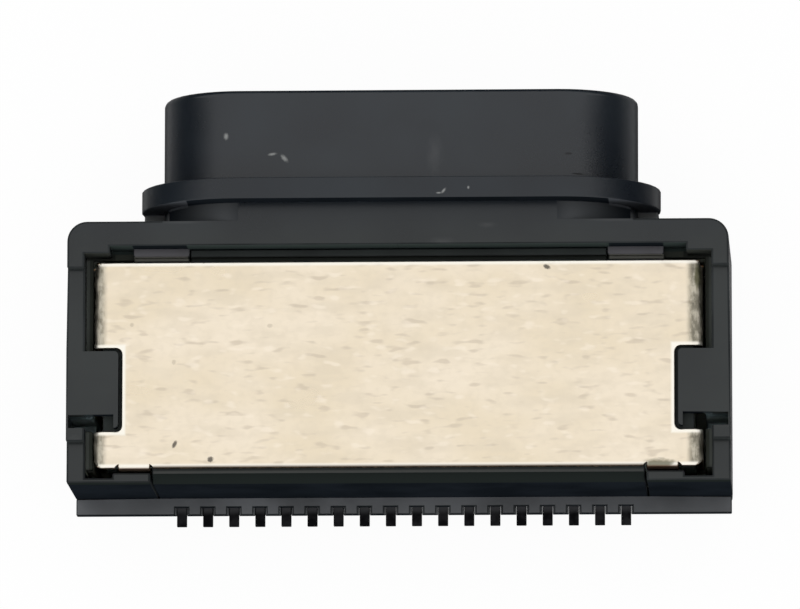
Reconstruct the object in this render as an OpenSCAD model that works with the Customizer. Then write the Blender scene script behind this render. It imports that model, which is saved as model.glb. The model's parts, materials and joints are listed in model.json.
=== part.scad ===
// Charging port connector for a slim reversible tongue plug.
// A moulded housing with a round-ended nose takes the plug. A contact base and an upper
// carrier inside it hold two rows of spring contacts and a latch spring on each side, and a
// folded shield plate closes the top. Sizes are in millimetres. The mouth faces +Y, the
// solder tails leave towards -Y, and the underside lies on Z = 0.

/* [Plug slot] */
// Width of the plug slot
slot_w = 6.86; // [6.5:0.02:7.2]
// Height of the plug slot
slot_h = 1.7; // [1.6:0.02:1.84]
// Depth of the plug slot, from the mouth to its end stop
slot_depth = 6.75; // [6.4:0.05:7.2]
// Lead-in chamfer round the mouth
mouth_chamfer = 0.2; // [0.05:0.05:0.35]

/* [Nose] */
// Width of the nose
nose_w = 9.05; // [8.6:0.05:9.4]
// Height of the nose
nose_h = 3; // [2.8:0.05:3.2]
// Length of the nose in front of the flange
nose_l = 1.75; // [1.4:0.01:2]
// Radius of the edge round the mouth
nose_edge_r = 0.12; // [0.04:0.02:0.25]

/* [Flange and neck] */
// How far the flange stands out round the nose
flange_lip = 0.43; // [0.3:0.01:0.6]
// Thickness of the flange
flange_t = 0.41; // [0.25:0.01:0.55]
// Radius of the flange's outer edges
flange_edge_r = 0.03; // [0.02:0.01:0.1]
// Length of the neck between the flange and the body
neck_l = 0.35; // [0.3:0.01:0.6]
// How far the block under the neck stays inside the flange, on each side
neck_inset = 0.05; // [0.03:0.01:0.15]

/* [Body] */
// Width of the body over its side walls
body_w = 12.54; // [12.2:0.02:13]
// Radius of the body's front corners
corner_r = 0.38; // [0.2:0.01:0.6]
// Thickness of the front wall
front_wall = 0.48; // [0.35:0.01:0.6]
// Thickness of each side wall
side_wall = 0.33; // [0.25:0.01:0.4]
// Thickness of the rear wall
rear_wall = 0.1; // [0.08:0.01:0.18]
// Thickness of the floor
floor_t = 0.45; // [0.3:0.01:0.55]
// Thickness of the end of the plug slot
stop_wall = 0.72; // [0.7:0.01:0.9]
// How far the front wall stands above the seat of the shield plate
front_rise = 0.38; // [0.3:0.01:0.5]
// Length of the tall front corners
tall_corner_l = 0.9; // [0.7:0.02:1.2]
// Length of the low rear end of the side walls
low_rear_l = 0.77; // [0.6:0.01:0.95]
// How far the side rails stand out of the side walls
rail_out = 0.02; // [0.01:0.01:0.08]
// Width of the blocks in the tall front corners
corner_block_w = 0.48; // [0.35:0.01:0.6]
// Thickness of the blocks in the tall front corners, past the front wall
corner_block_t = 0.14; // [0.08:0.01:0.2]

/* [Plate seats] */
// Distance of each front seat from the middle
front_seat_x = 4.5; // [4.42:0.02:4.6]
// Width of each front seat
front_seat_w = 1.07; // [0.9:0.01:1.14]
// Depth of each front seat
front_seat_d = 0.4; // [0.3:0.02:0.46]
// Width of the groove along the plate's front edge, across the seats and the tongue between them
groove_w = 0.07; // [0.04:0.01:0.1]
// Depth of that groove below the seats
groove_d = 0.15; // [0.08:0.01:0.18]
// Width of each rear stop
rear_stop_w = 0.72; // [0.66:0.02:0.8]
// Thickness of each rear stop, with the rear wall
rear_stop_t = 0.2; // [0.18:0.01:0.24]
// Gap between the module's neck and each rear stop
stop_gap = 0.04; // [0.03:0.01:0.16]
// Gap between the plate and the low guides beside it and in front of its corners
guide_gap = 0.05; // [0.03:0.01:0.08]
// How far the tops of the guides lie below the top of the plate
guide_drop = 0.4; // [0.25:0.01:0.6]

/* [Clips] */
// How far each clip reaches in from the outside of its wall
clip_reach = 0.97; // [0.85:0.01:1.05]
// Thickness of each clip
clip_t = 0.2; // [0.12:0.01:0.25]
// Length of each clip
clip_l = 1.47; // [1.2:0.01:1.7]
// Distance of each clip from the front of the body
clip_from_front = 2.46; // [2.2:0.02:2.5]
// Radius of the clip's inner corners
clip_r = 0.08; // [0.04:0.01:0.12]
// Length of the slit at the back of each clip
slit_l = 0.25; // [0.15:0.01:0.35]
// Width of the lip that is left beside the slit
slit_lip = 0.09; // [0.06:0.01:0.15]
// Depth of the slit below the clip's top
slit_depth = 1.6; // [0.4:0.05:1.9]
// Thickness of the skin that closes the slit at the outside of the wall
slit_skin = 0.04; // [0.04:0.01:0.1]

/* [Shield plate] */
// Thickness of the sheet
plate_t = 0.12; // [0.1:0.01:0.2]
// Gap between the plate and each side wall
plate_side_gap = 0.18; // [0.15:0.01:0.24]
// Gap between the plate and the front wall
plate_front_gap = 0.23; // [0.15:0.01:0.27]
// Inner radius of the folds
fold_r = 0.03; // [0.02:0.01:0.1]
// Depth of the folded sides, from the top of the plate
fold_depth = 1.6; // [1:0.05:2]
// Gap between the plate's notches and the clips
notch_gap = 0.06; // [0.04:0.01:0.1]
// Radius of the notch corners
notch_r = 0.11; // [0.05:0.01:0.15]
// Radius of the plate's outer corners
plate_corner_r = 0.16; // [0.08:0.02:0.2]
// Width of each rear tab
tab_w = 0.6; // [0.5:0.01:0.7]
// Depth of the rear tabs, from the top of the plate
tab_depth = 0.7; // [0.5:0.05:1]
// How far the rear tabs stand out behind the plate
tab_out = 0.07; // [0.01:0.01:0.08]
// Width of the relief cut beside each tab
relief_w = 0.12; // [0.06:0.01:0.18]

/* [Carriers] */
// Thickness of the upper carrier over the plug slot
roof_t = 0.25; // [0.22:0.01:0.32]
// Chamfer along the top of the module's back
back_chamfer = 0.18; // [0.1:0.01:0.22]
// Width of the module's neck beside its last tail, where it passes the rear wall
neck_margin = 0.315; // [0.15:0.005:0.35]

/* [Board ledge] */
// Height of the ledge's underside, which lies on the board, above the underside
board_drop = 0.6; // [0.55:0.01:0.78]
// Thickness of the ledge
ledge_t = 0.2; // [0.16:0.01:0.45]
// How far the ledge stands out behind the body
ledge_out = 0.32; // [0.22:0.01:0.4]
// How far the ledge stays inside the body's sides
ledge_inset = 0; // [0:0.01:0.1]
// Depth of the comb slots in the ledge
comb_depth = 0.15; // [0.08:0.01:0.2]
// Gap beside a tail in its comb slot
comb_gap = 0.035; // [0.02:0.005:0.05]

/* [Contacts] */
// Contacts in each row
row_n = 8; // [4:2:8]
// Pitch of the contacts in the plug slot
contact_pitch = 0.75; // [0.7:0.01:0.8]
// Width of a contact in the plug slot
contact_w = 0.3; // [0.24:0.02:0.4]
// Thickness of the contact strip
strip_t = 0.1; // [0.08:0.01:0.12]
// How far a contact reaches into the plug slot
contact_reach = 0.23; // [0.15:0.01:0.3]
// Distance of the contact points from the end stop
contact_from_stop = 1.99; // [1.7:0.05:2.2]
// Radius of the contact points
contact_r = 0.25; // [0.15:0.01:0.3]
// Angle that the strip turns back at its tip
tip_turn = 40; // [20:1:60]
// Length of the springs' flat root in the slot
root_l = 0.49; // [0.35:0.01:0.6]
// Width of a solder tail
tail_w = 0.19; // [0.15:0.01:0.22]
// Pitch of the solder tails
tail_pitch = 0.5; // [0.49:0.005:0.51]
// How far the tails reach out behind the ledge
tail_out = 0.21; // [0.15:0.01:0.6]
// Radius of the bends in the contact strip
bend_r = 0.12; // [0.08:0.01:0.14]

/* [Latch springs] */
// Height of the latch springs
latch_h = 0.8; // [0.6:0.02:1]
// Thickness of the latch springs
latch_t = 0.15; // [0.12:0.01:0.18]
// How far a latch spring reaches into the plug slot
latch_reach = 0.2; // [0.12:0.01:0.3]
// Angle that the latch point turns through, to each side
nib_turn = 60; // [40:1:70]
// Distance of the latch points from the end stop
latch_from_stop = 1.75; // [1.5:0.05:2]
// Depth of the recess beside the slot that a latch spring moves in
latch_recess = 0.5; // [0.42:0.01:0.55]

/* [Fits] */
// Clearance round the strips where they lie in their carriers
strip_gap = 0.005; // [0.002:0.001:0.01]
// Clearance between pieces that are fitted together
fit_gap = 0.02; // [0.01:0.005:0.03]

/* [Hidden] */
$fn = 48;
// Overlap that makes cutters pass through and joined bodies meet
over = 0.2;
bend_steps = 6;

front_l = nose_l + flange_t + neck_l;
axis_z = nose_h / 2 + flange_lip;
roof_z = axis_z + slot_h / 2;
sill_z = axis_z - slot_h / 2;
seat_z = roof_z + roof_t + fit_gap;
plate_top = seat_z + plate_t;
clip_top = seat_z + clip_t;
body_h = seat_z + front_rise;
stop_y = front_l - slot_depth;
body_l = stop_wall - stop_y;
ledge_y = -body_l - ledge_out;
tail_y = ledge_y - tail_out;
front_y = (front_l + tail_y) / -2;

nose_span = nose_w - nose_h;
slot_span = slot_w - slot_h;
flange_r = nose_h / 2 + flange_lip;
neck_x = nose_w / 2 + flange_lip - neck_inset;
half_w = body_w / 2;
rail_z = board_drop + ledge_t;
latch_tail_x = (row_n + 0.5) * tail_pitch;
neck_half_w = latch_tail_x + tail_w / 2 + neck_margin;
pocket_x = half_w - side_wall;
plate_x = pocket_x - plate_side_gap;
plate_y = -front_wall - plate_front_gap;
tab_rear_y = rear_stop_t + fit_gap - body_l;
plate_rear_y = tab_rear_y + tab_out;
module_x = plate_x - plate_t - 2 * fit_gap;
module_front_y = -front_wall - front_seat_d - fit_gap;
module_rear_y = tab_rear_y + plate_t + fold_r + fit_gap;
tongue_x = front_seat_x - front_seat_w / 2 - fit_gap;
clip_x = half_w - clip_reach;
rear_stop_x = neck_half_w + stop_gap;
tab_x = neck_half_w + 2 * fit_gap + tab_w / 2;
fold_outer_r = fold_r + plate_t;
tab_bend_y = tab_rear_y + fold_outer_r;

base_z = floor_t + fit_gap;
tail_z = board_drop + strip_t / 2;
upper_z = roof_z + strip_t / 2;
lower_z = sill_z - strip_t / 2;
root_y = stop_y + root_l;
fan_y = module_rear_y;
point_y = stop_y + contact_from_stop;
latch_y = stop_y + latch_from_stop;
latch_x = slot_w / 2 + latch_recess / 2;

function row_x(i, pitch) = (i - (row_n + 1) / 2) * pitch;
function side_of(i) = i > row_n / 2 ? 1 : -1;
// The two rows share the tails by turns, mirrored about the middle.
function upper_tail_x(i) = (2 * row_x(i, 1) + 0.5 * side_of(i)) * tail_pitch;
function lower_tail_x(i) = (2 * row_x(i, 1) - 0.5 * side_of(i)) * tail_pitch;

function unit(v) = v / norm(v);
function left_of(v) = [-v[1], v[0]];
function reversed(p) = [for (i = [len(p) - 1:-1:0]) p[i]];
function arc(c, r, a0, a1) =
    [for (k = [0:bend_steps]) let (a = a0 + (a1 - a0) * k / bend_steps) c + r * [cos(a), sin(a)]];
// One side of a strip that follows the points p, at distance d
function strip_side(p, d) = [
    for (i = [0:len(p) - 1])
        let (
            before = unit(i > 0 ? p[i] - p[i - 1] : p[1] - p[0]),
            after = i < len(p) - 1 ? unit(p[i + 1] - p[i]) : before,
            n = unit(left_of(before) + left_of(after))
        ) p[i] + n * d / (n * left_of(after))
];
function strip(p, t) = concat(strip_side(p, t / 2), reversed(strip_side(p, -t / 2)));

// Places pieces whose Y is measured from the front of the body
module in_body() {
    translate([0, front_y, 0]) children();
}

module both_sides() {
    children();
    mirror([1, 0, 0]) children();
}

// A box between two corners
module box(low, high) {
    translate(low) cube(high - low);
}

// Draws a side view, Y across and Z up, and gives it a width about x
module from_side(x, w) {
    translate([x - w / 2, 0, 0]) rotate([90, 0, 90]) linear_extrude(w) children();
}

// Turns a half profile, radius across and distance forward up, round a stadium's outline
module round_stadium(span) {
    for (turn = [0, 180])
        rotate(turn) translate([span / 2, 0, 0]) rotate(-90) rotate_extrude(angle = 180) children();
    rotate([90, 0, 90]) linear_extrude(span, center = true) {
        children();
        mirror([1, 0]) children();
    }
}

module on_plug_axis() {
    translate([0, 0, axis_z]) rotate([-90, 0, 0]) children();
}

// A rectangle from y = 0 forward whose far corners are rounded
module far_rounded(w, l, r) {
    translate([-w / 2, 0]) square([w, l - r]);
    translate([r - w / 2, 0]) square([w - 2 * r, l]);
    for (side = [-1, 1]) translate([side * (w / 2 - r), l - r]) circle(r);
}

// The half profile of the neck, flange and nose
module nose_profile() {
    r = nose_h / 2;
    translate([0, -front_wall / 2]) square([r, front_l - nose_edge_r + front_wall / 2]);
    square([r - nose_edge_r, front_l]);
    translate([r - nose_edge_r, front_l - nose_edge_r]) circle(nose_edge_r);
    translate([0, neck_l]) square([flange_r - flange_edge_r, flange_t]);
    translate([0, neck_l + flange_edge_r]) square([flange_r, flange_t - 2 * flange_edge_r]);
    for (y = [neck_l + flange_edge_r, neck_l + flange_t - flange_edge_r])
        translate([flange_r - flange_edge_r, y]) circle(flange_edge_r);
}

// The half profile of the plug slot, with the lead-in at its mouth
module slot_profile() {
    r = slot_h / 2;
    polygon([
        [0, -front_wall - over],
        [r, -front_wall - over],
        [r, front_l - mouth_chamfer],
        [r + mouth_chamfer, front_l],
        [r + mouth_chamfer, front_l + over],
        [0, front_l + over]
    ]);
}

// The open well of the body, seen from above
module pocket_plan() {
    rear = rear_wall - body_l;
    block = -front_wall - corner_block_t;
    translate([-pocket_x, rear]) square([2 * pocket_x, block - rear]);
    inner_x = pocket_x - corner_block_w;
    translate([-inner_x, rear]) square([2 * inner_x, -front_wall - rear]);
}

module body_shell() {
    wide = half_w + over;
    difference() {
        union() {
            translate([0, -body_l, 0]) linear_extrude(body_h) far_rounded(body_w, body_l, corner_r);
            both_sides()
                box([half_w - over, -body_l, rail_z], [half_w + rail_out, -clip_from_front, clip_top]);
            on_plug_axis() round_stadium(nose_span) nose_profile();
            box([-neck_x, -over, 0], [neck_x, neck_l, axis_z]);
        }
        translate([0, 0, floor_t]) linear_extrude(body_h) pocket_plan();
        on_plug_axis() round_stadium(slot_span) slot_profile();
        box([-wide, -body_l - over, clip_top], [wide, -tall_corner_l, body_h + over]);
        box([-wide, -body_l - over, seat_z], [wide, low_rear_l - body_l, body_h]);
        box([-rear_stop_x, -body_l - over, floor_t], [rear_stop_x, -body_l + over, body_h]);
    }
}

module plate_seats() {
    both_sides() {
        translate([front_seat_x - front_seat_w / 2, -front_wall - front_seat_d, floor_t])
            cube([front_seat_w, front_seat_d, seat_z - floor_t]);
        translate([rear_stop_x, -body_l, floor_t]) cube([rear_stop_w, rear_stop_t, seat_z - floor_t]);
    }
}

// The low guides in the gap beside the plate and in front of its corners
module plate_guides() {
    top = plate_top - guide_drop;
    both_sides() {
        box([plate_x + guide_gap, plate_rear_y, floor_t], [pocket_x + over, -front_wall + over, top]);
        box([front_seat_x, plate_y + guide_gap, floor_t], [pocket_x + over, -front_wall + over, top]);
    }
}

// The groove along the plate's front edge
module front_groove() {
    x = front_seat_x + front_seat_w / 2 + over;
    box([-x, plate_y, seat_z - groove_d], [x, plate_y + groove_w, body_h]);
}

// A clip's outline from above, on the right-hand wall
module clip_plan(reach, grow, r) {
    translate([half_w, -clip_from_front - clip_l / 2]) rotate(90)
        far_rounded(clip_l + 2 * grow, reach + grow, r);
}

module housing() {
    color([0.2, 0.21, 0.23]) in_body() difference() {
        union() {
            body_shell();
            plate_seats();
            plate_guides();
            both_sides() translate([0, 0, seat_z]) linear_extrude(clip_t) clip_plan(clip_reach, 0, clip_r);
        }
        front_groove();
        both_sides() translate([clip_x + slit_lip, -clip_from_front - clip_l, clip_top - slit_depth])
            cube([clip_reach + rail_out - slit_lip - slit_skin, slit_l, slit_depth + over]);
    }
}

// The folded sheet seen from the front, with a side turned down on the left and the right
module plate_profile() {
    flat_x = plate_x - fold_outer_r;
    translate([-flat_x, seat_z]) square([2 * flat_x, plate_t]);
    both_sides() {
        translate([flat_x, plate_top - fold_outer_r]) intersection() {
            difference() {
                circle(fold_outer_r);
                circle(fold_r);
            }
            square(fold_outer_r);
        }
        translate([plate_x - plate_t, plate_top - fold_depth]) square([plate_t, fold_depth - fold_outer_r]);
    }
}

// A rear tab seen from the side, turned down off the plate
module tab_profile() {
    translate([tab_bend_y, plate_top - fold_outer_r]) intersection() {
        difference() {
            circle(fold_outer_r);
            circle(fold_r);
        }
        translate([-fold_outer_r, 0]) square(fold_outer_r);
    }
    translate([tab_rear_y, plate_top - tab_depth]) square([plate_t, tab_depth - fold_outer_r]);
}

// What rounds off the plate's right-hand corner at y, where way is the direction into the plate
module corner_waste(y, way) {
    r = plate_corner_r;
    translate([plate_x, y, 0]) linear_extrude(body_h) difference() {
        square(2 * r, center = true);
        translate([-r, way * r]) circle(r);
    }
}

module shield_plate() {
    length = plate_y - plate_rear_y;
    relief_x = tab_w / 2 + relief_w;
    color([0.88, 0.83, 0.74]) in_body() {
        difference() {
            translate([0, plate_y, 0]) rotate([90, 0, 0]) linear_extrude(length) plate_profile();
            both_sides() {
                linear_extrude(body_h) clip_plan(clip_reach, notch_gap, notch_r);
                corner_waste(plate_y, -1);
                corner_waste(plate_rear_y, 1);
                translate([tab_x - relief_x, plate_rear_y - over, seat_z - over])
                    cube([2 * relief_x, tab_bend_y - plate_rear_y + over, plate_t + 2 * over]);
            }
        }
        both_sides() from_side(tab_x, tab_w) tab_profile();
    }
}

// The contact module seen from above: a tongue between the front seats, a wide middle and a neck
module module_plan() {
    front = -front_wall - fit_gap;
    translate([-tongue_x, module_front_y]) square([2 * tongue_x, front - module_front_y]);
    translate([-module_x, module_rear_y]) square([2 * module_x, module_front_y - module_rear_y]);
    translate([-neck_half_w, -body_l]) square([2 * neck_half_w, module_rear_y + body_l]);
}

// Room for the springs of one row to bend into, along the plug slot's roof or floor
module spring_grooves(low_z, high_z) {
    for (i = [1:row_n]) {
        x = row_x(i, contact_pitch);
        half = contact_w / 2 + fit_gap;
        box([x - half, root_y, low_z], [x + half, point_y + 2 * contact_r, high_z]);
    }
}

// The board ledge behind the body, with a comb slot above each tail
module board_ledge() {
    w = body_w - 2 * ledge_inset;
    difference() {
        box([-w / 2, ledge_y, board_drop], [w / 2, -body_l, board_drop + ledge_t]);
        for (k = [-row_n - 1:row_n]) {
            x = (k + 0.5) * tail_pitch;
            half = tail_w / 2 + comb_gap;
            box([x - half, ledge_y - over, board_drop + strip_t], [x + half, ledge_y + comb_depth, axis_z]);
        }
    }
}

module contact_base() {
    color([0.16, 0.17, 0.19]) in_body() difference() {
        union() {
            difference() {
                translate([0, 0, base_z]) linear_extrude(roof_z - base_z) module_plan();
                box([-slot_w / 2, stop_y, sill_z], [slot_w / 2, over, roof_z + over]);
            }
            board_ledge();
        }
        spring_grooves(sill_z - strip_t - fit_gap, sill_z + over);
        both_sides() {
            latch_room();
            latch_shape(strip_gap);
        }
        for (i = [1:row_n]) {
            upper_leg(i, strip_gap);
            lower_shape(i, strip_gap);
        }
    }
}

module upper_carrier() {
    color([0.16, 0.17, 0.19]) in_body() difference() {
        translate([0, 0, roof_z]) linear_extrude(roof_t) module_plan();
        front_groove();
        spring_grooves(roof_z - over, roof_z + strip_t + fit_gap);
        for (i = [1:row_n]) {
            upper_fan(i, strip_gap);
            upper_leg(i, strip_gap);
        }
        from_side(0, body_w) polygon([
            [-body_l - over, roof_z + roof_t - back_chamfer - over],
            [-body_l + back_chamfer + over, roof_z + roof_t + over],
            [-body_l - over, roof_z + roof_t + over]
        ]);
    }
}

// The free spring of a contact from the side, for a strip at height z that leans by way, up or down
module spring(i, z, way) {
    rim = contact_r - strip_t / 2;
    hub_z = z + way * (contact_reach - rim);
    bend_y = root_y + root_l / 2;
    lean = atan2(contact_reach, point_y - bend_y);
    points = concat(
        [[root_y, z], [bend_y, z]],
        arc([point_y, hub_z], rim, way * (90 + lean), way * (90 - tip_turn))
    );
    from_side(row_x(i, contact_pitch), contact_w) polygon(strip(points, strip_t));
}

// The flat stretch that spreads a contact from its place in the plug slot to its tail.
// Here and below, gap widens a strip into the room that it lies in.
module fan(i, tail_x, z, gap) {
    x = row_x(i, contact_pitch);
    slot_half = contact_w / 2 + gap;
    tail_half = tail_w / 2 + gap;
    thick = strip_t + 2 * gap;
    translate([0, 0, z - thick / 2]) linear_extrude(thick) polygon([
        [x - slot_half, root_y],
        [x + slot_half, root_y],
        [tail_x + tail_half, fan_y],
        [tail_x - tail_half, fan_y]
    ]);
}

module upper_fan(i, gap = 0) {
    fan(i, upper_tail_x(i), upper_z, gap);
}

// The leg that takes an upper contact down to the board
module upper_leg(i, gap = 0) {
    bend_y = fan_y - strip_t / 2;
    leg_y = bend_y - bend_r;
    points = concat(
        [[fan_y, upper_z]],
        arc([bend_y, upper_z - bend_r], bend_r, 90, 180),
        arc([leg_y - bend_r, tail_z + bend_r], bend_r, 0, -90),
        [[tail_y, tail_z]]
    );
    from_side(upper_tail_x(i), tail_w + 2 * gap) polygon(strip(points, strip_t + 2 * gap));
}

module lower_leg(i, gap = 0) {
    points = [
        [fan_y, lower_z],
        [fan_y - bend_r, lower_z],
        [fan_y - 2 * bend_r, tail_z],
        [tail_y, tail_z]
    ];
    from_side(lower_tail_x(i), tail_w + 2 * gap) polygon(strip(points, strip_t + 2 * gap));
}

module lower_shape(i, gap = 0) {
    fan(i, lower_tail_x(i), lower_z, gap);
    lower_leg(i, gap);
}

module upper_contact(i) {
    color([0.5, 0.48, 0.44]) in_body() {
        spring(i, upper_z, -1);
        upper_fan(i);
        upper_leg(i);
    }
}

module lower_contact(i) {
    color([0.5, 0.48, 0.44]) in_body() {
        spring(i, lower_z, 1);
        lower_shape(i);
    }
}

// The right-hand latch spring, a strip on edge with a rounded latch point
module latch_shape(gap = 0) {
    low = axis_z - latch_h / 2 - gap;
    high = axis_z + latch_h / 2 + gap;
    foot = board_drop - gap;
    rim = latch_t;
    middle = latch_x - latch_t / 2;
    nib_x = slot_w / 2 - latch_reach + latch_t / 2 + rim;
    path = concat(
        [[latch_tail_x, fan_y - 2 * bend_r], [latch_tail_x, fan_y]],
        [[middle, root_y], [middle, latch_y - root_l]],
        arc([nib_x, latch_y], rim, 180 + nib_turn, 180 - nib_turn),
        [[middle, latch_y + root_l]]
    );
    tail_top = board_drop + strip_t + gap;
    blade_front = fan_y - bend_r + gap;
    blade_rear = fan_y - 2 * bend_r - gap;
    translate([0, 0, low]) linear_extrude(high - low) polygon(strip(path, latch_t + 2 * gap));
    from_side(latch_tail_x, tail_w + 2 * gap) polygon([
        [blade_rear, high],
        [blade_front, high],
        [blade_front, foot],
        [tail_y, foot],
        [tail_y, tail_top],
        [blade_rear, tail_top]
    ]);
}

// The recess that the latch spring moves in, open to the plug slot
module latch_room() {
    low = axis_z - latch_h / 2 - fit_gap;
    box([slot_w / 2 - over, root_y, low], [slot_w / 2 + latch_recess, latch_y + 2 * root_l, roof_z + over]);
}

module latch_spring() {
    color([0.55, 0.54, 0.52]) in_body() latch_shape();
}

housing();
shield_plate();
contact_base();
upper_carrier();
mirror([1, 0, 0]) latch_spring();  // latch_spring_left
latch_spring();  // latch_spring_right
for (i = [1:row_n]) {
    upper_contact(i);
    lower_contact(i);
}
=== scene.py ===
# %% [markdown]
# # A charging port connector
# A connector this small is three things to look at: a moulded black housing with a round-ended
# nose, a plated shield plate folded over the top of it, and a row of dark solder tails at the
# back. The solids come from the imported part, at their real size and place. This lesson gives
# them softened edges and finishes, folds the shield plate anew from a flat sheet, and sets up
# the light and the camera.

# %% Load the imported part
import itertools
import json
import math

import bmesh
import bpy
from mathutils import Matrix, Vector
from mathutils.geometry import intersect_point_line

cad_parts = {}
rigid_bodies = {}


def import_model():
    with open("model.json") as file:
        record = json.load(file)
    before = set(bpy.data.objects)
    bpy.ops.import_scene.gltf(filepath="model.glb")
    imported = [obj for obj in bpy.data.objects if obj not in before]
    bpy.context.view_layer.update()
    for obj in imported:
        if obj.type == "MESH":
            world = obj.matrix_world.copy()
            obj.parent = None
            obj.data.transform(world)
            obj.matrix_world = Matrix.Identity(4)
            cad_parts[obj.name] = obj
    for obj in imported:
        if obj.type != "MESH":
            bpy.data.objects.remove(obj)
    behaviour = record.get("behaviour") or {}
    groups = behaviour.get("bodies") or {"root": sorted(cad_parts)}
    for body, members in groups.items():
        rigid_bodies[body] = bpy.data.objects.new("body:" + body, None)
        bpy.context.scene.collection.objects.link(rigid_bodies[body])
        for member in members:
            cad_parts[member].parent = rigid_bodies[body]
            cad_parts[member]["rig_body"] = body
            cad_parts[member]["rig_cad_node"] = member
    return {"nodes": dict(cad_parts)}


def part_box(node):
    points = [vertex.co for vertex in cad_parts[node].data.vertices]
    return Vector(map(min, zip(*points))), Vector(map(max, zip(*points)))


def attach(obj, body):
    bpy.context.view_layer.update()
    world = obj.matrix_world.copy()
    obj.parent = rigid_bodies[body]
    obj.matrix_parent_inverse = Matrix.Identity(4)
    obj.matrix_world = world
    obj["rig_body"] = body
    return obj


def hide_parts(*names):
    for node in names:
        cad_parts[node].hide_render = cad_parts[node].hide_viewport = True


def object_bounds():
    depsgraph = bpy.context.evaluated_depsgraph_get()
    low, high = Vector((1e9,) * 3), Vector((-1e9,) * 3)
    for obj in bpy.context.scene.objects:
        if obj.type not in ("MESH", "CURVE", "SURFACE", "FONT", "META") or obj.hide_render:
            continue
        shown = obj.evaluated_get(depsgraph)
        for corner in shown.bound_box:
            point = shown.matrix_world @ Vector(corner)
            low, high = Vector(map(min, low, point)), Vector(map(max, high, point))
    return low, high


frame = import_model()
cad_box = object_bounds()
print("CAD box, mm:", [[round(1000 * v, 3) for v in corner] for corner in cad_box])

# %% [markdown]
# ## Working in millimetres
# The part is 12.6 mm wide, and Blender's bevel and merge tools expect things about a metre
# across. So a piece is modelled a thousand times larger, where one unit is a millimetre, and is
# shrunk to its real size when it is done. MM turns a millimetre into Blender's metres for all
# that isn't modelled that way.

# %% Bench helpers
MM = 0.001


def pick(piece):
    """Makes one object the active one, and the only one that is selected."""
    bpy.ops.object.select_all(action="DESELECT")
    piece.select_set(True)
    bpy.context.view_layer.objects.active = piece


def rescale(piece, factor):
    """Scales a piece about the origin and puts the scale into its mesh."""
    pick(piece)
    piece.scale = (factor, factor, factor)
    bpy.ops.object.transform_apply(location=False, rotation=False, scale=True)


def select_where(piece, kind, test):
    """In edit mode, selects only the verts, edges or faces for which test is true."""
    bpy.ops.mesh.select_mode(type=kind)
    bpy.ops.mesh.select_all(action="DESELECT")
    mesh = bmesh.from_edit_mesh(piece.data)
    items = {"VERT": mesh.verts, "EDGE": mesh.edges, "FACE": mesh.faces}[kind]
    chosen = [item for item in items if test(item)]
    for item in chosen:
        item.select_set(True)
    mesh.select_flush_mode()
    bmesh.update_edit_mesh(piece.data)
    return len(chosen)


def apply_modifier(piece, kind, **settings):
    """Adds a modifier with these settings and applies it."""
    modifier = piece.modifiers.new(kind.lower(), kind)
    for key, value in settings.items():
        setattr(modifier, key, value)
    pick(piece)
    bpy.ops.object.modifier_apply(modifier=modifier.name)


print("bench helpers ready: a millimetre is", MM, "m")

# %% [markdown]
# ## The camera
# The photograph looks down on the part, a little from behind and from its right, through a long
# lens: the sides of the body hardly converge. The direction, the distance and the lens were
# fitted to the corners of the body, the flange and the shield plate.

# %% Camera
VIEW_AZIMUTH = math.radians(17.28)
VIEW_HEIGHT = math.radians(80.96)
VIEW_ROLL = math.radians(0.08)
VIEW_DISTANCE = 205.76 * MM
VIEW_CENTRE = Vector((-0.02, 0.0875, 1.95)) * MM
SENSOR_W = 36
LENS = 485.9
CLIP_NEAR = 10 * MM
CLIP_FAR = 10

level = math.cos(VIEW_HEIGHT)
back = Vector((level * math.sin(VIEW_AZIMUTH), -level * math.cos(VIEW_AZIMUTH), math.sin(VIEW_HEIGHT)))
right = Vector((0, 1, 0)).cross(back).normalized()
turned = Matrix((right, back.cross(right), back)).transposed() @ Matrix.Rotation(VIEW_ROLL, 3, "Z")

bpy.ops.object.camera_add()
camera = bpy.context.object
camera.name = "photo_camera"
camera.matrix_world = Matrix.Translation(VIEW_CENTRE + back * VIEW_DISTANCE) @ turned.to_4x4()
camera.data.sensor_width = SENSOR_W
camera.data.lens = LENS
camera.data.clip_start = CLIP_NEAR
camera.data.clip_end = CLIP_FAR
bpy.context.scene.camera = camera
print("camera at", [round(v / MM, 1) for v in camera.location], "mm")

# %% [markdown]
# ## Shader maths
# Every finish below is arithmetic on a few noises and masks. Written as nodes by hand, that is
# a page for each material. A Value wraps the output of a node and turns + - * into Math nodes,
# and a Finish is a material with one method that adds any other node.

# %% Value and Finish
# The sockets of a Mix node that mixes colours.
MIX_FIRST = 6
MIX_SECOND = 7
MIX_RESULT = 2
# The soft ends of a span, in millimetres.
SPAN_SOFT = 0.012
# How ragged a mark is: the scale of the noise at its edge, and that noise's share of its size.
RAGGED_SCALE = 2.5
RAGGED_SHARE = 0.7


class Value:
    """The output of a node. Arithmetic on it adds Math nodes to the same finish."""

    def __init__(self, finish, socket):
        self.finish = finish
        self.socket = socket

    def math(self, operation, first, second):
        return self.finish.node("Math", {"operation": operation}, {0: first, 1: second})

    def __add__(self, other):
        return self.math("ADD", self, other)

    def __radd__(self, other):
        return self.math("ADD", other, self)

    def __sub__(self, other):
        return self.math("SUBTRACT", self, other)

    def __rsub__(self, other):
        return self.math("SUBTRACT", other, self)

    def __mul__(self, other):
        return self.math("MULTIPLY", self, other)

    def __rmul__(self, other):
        return self.math("MULTIPLY", other, self)

    def __abs__(self):
        return self.math("ABSOLUTE", self, 0)

    def at_most(self, other):
        return self.math("MINIMUM", self, other)

    def at_least(self, other):
        return self.math("MAXIMUM", self, other)


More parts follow.
